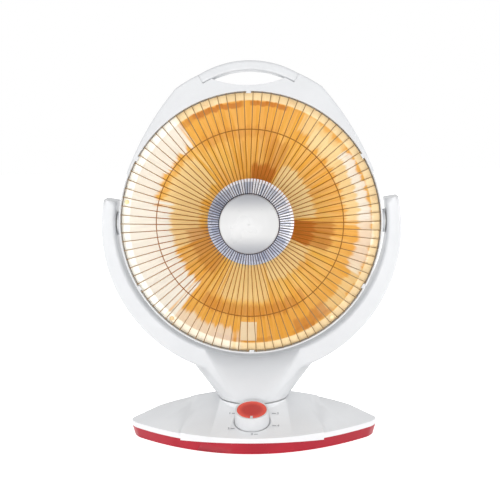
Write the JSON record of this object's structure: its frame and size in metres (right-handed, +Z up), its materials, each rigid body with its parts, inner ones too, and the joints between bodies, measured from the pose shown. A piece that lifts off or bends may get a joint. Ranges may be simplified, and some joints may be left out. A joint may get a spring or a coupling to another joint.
{
  "type": "parabolic heater",
  "caption": "Parabolic dish heater: domed wire guard and gold reflector in a tilting head with a carrying handle, held by an oscillating U yoke on a lens-shaped base with a rotary knob.",
  "frame": {"origin": "on the floor under the centre of the base", "axes": "+X to the right seen from the front, +Y to the back, +Z up; the dish faces -Y"},
  "size_m": [0.379, 0.1732, 0.4771],
  "materials": {
    "tray_red": "glossy moulded crimson plastic",
    "shell_white": "glossy moulded white plastic",
    "foot_rubber": "black rubber",
    "cast_weight": "rough cast iron",
    "screw_steel": "zinc-plated steel",
    "screw_brass": "brass-plated steel",
    "motor_steel": "plated steel can",
    "switch_black": "matt black phenolic",
    "block_ivory": "matt ivory nylon",
    "knob_red": "glossy red insert",
    "bearing_nylon": "natural acetal",
    "lever_steel": "pressed steel",
    "crank_brass": "machined brass",
    "dish_gold": "gold-anodised polished aluminium",
    "deflector_silver": "bright spun aluminium",
    "wire_brown": "dark brown coated steel wire",
    "element_ceramic": "unglazed ceramic",
    "coil_alloy": "oxidised resistance alloy",
    "clip_steel": "spring steel"
  },
  "bodies": {
    "base": {"base_tray": "tray_red", "base_cover": "shell_white", "base_feet": "foot_rubber", "base_weights": "cast_weight", "base_screws": "screw_steel", "swing_motor": "motor_steel", "motor_screws": "screw_steel", "rotary_switch": "switch_black", "switch_screws": "screw_steel", "tipover_switch": "switch_black", "terminal_block": "block_ivory", "cord_gland": "switch_black", "swivel_washer": "bearing_nylon"},
    "knob": {"knob": "shell_white", "knob_cap": "knob_red", "switch_shaft": "screw_steel"},
    "crank": {"crank": "crank_brass"},
    "plunger": {"tipover_plunger": "bearing_nylon"},
    "yoke": {"yoke_front": "shell_white", "yoke_back": "shell_white", "yoke_screws": "screw_steel", "swivel_spindle": "lever_steel", "spindle_screws": "screw_steel", "swivel_lever": "lever_steel", "retainer_ring": "clip_steel"},
    "head": {"head_bezel": "shell_white", "head_shell": "shell_white", "handle_grip": "shell_white", "handle_screws": "screw_steel", "shell_screws": "screw_steel", "reflector": "dish_gold", "reflector_screws": "screw_brass", "element_holder": "element_ceramic", "holder_clip": "clip_steel", "thermal_cutout": "switch_black", "element_core": "element_ceramic", "element_coil": "coil_alloy", "deflector": "deflector_silver", "guard": "wire_brown", "guard_cap": "shell_white", "cap_clamp": "clip_steel", "cap_screw": "screw_steel", "pivot_pins": "screw_steel", "friction_washers": "bearing_nylon"}
  },
  "joints": [
    {"name": "base_swivel", "type": "hinge", "parent": "base", "child": "yoke", "pos_m": [0, 0.016, 0.048], "axis": [0, 0, 1], "range_deg": [-35, 35]},
    {"name": "head_tilt", "type": "hinge", "parent": "yoke", "child": "head", "pos_m": [0, 0.016, 0.275], "axis": [-1, 0, 0], "range_deg": [-13, 22]},
    {"name": "knob_turn", "type": "hinge", "parent": "base", "child": "knob", "pos_m": [0, -0.0518, 0.03407], "axis": [0, -0.3032, 0.9529], "range_deg": [-120, 120]},
    {"name": "crank_turn", "type": "hinge", "parent": "base", "child": "crank", "pos_m": [-0.032, 0.016, 0.022], "axis": [0, 0, 1], "range_deg": [-101, 101]},
    {"name": "plunger_slide", "type": "slide", "parent": "base", "child": "plunger", "axis": [0, 0, 1], "range_m": [-0.005, 0], "stiffness_N_per_m": 40, "springref_m": -0.008}
  ],
  "couplings": [
    {"joint": "crank_turn", "follows": "base_swivel", "ratio": 2.857}
  ]
}
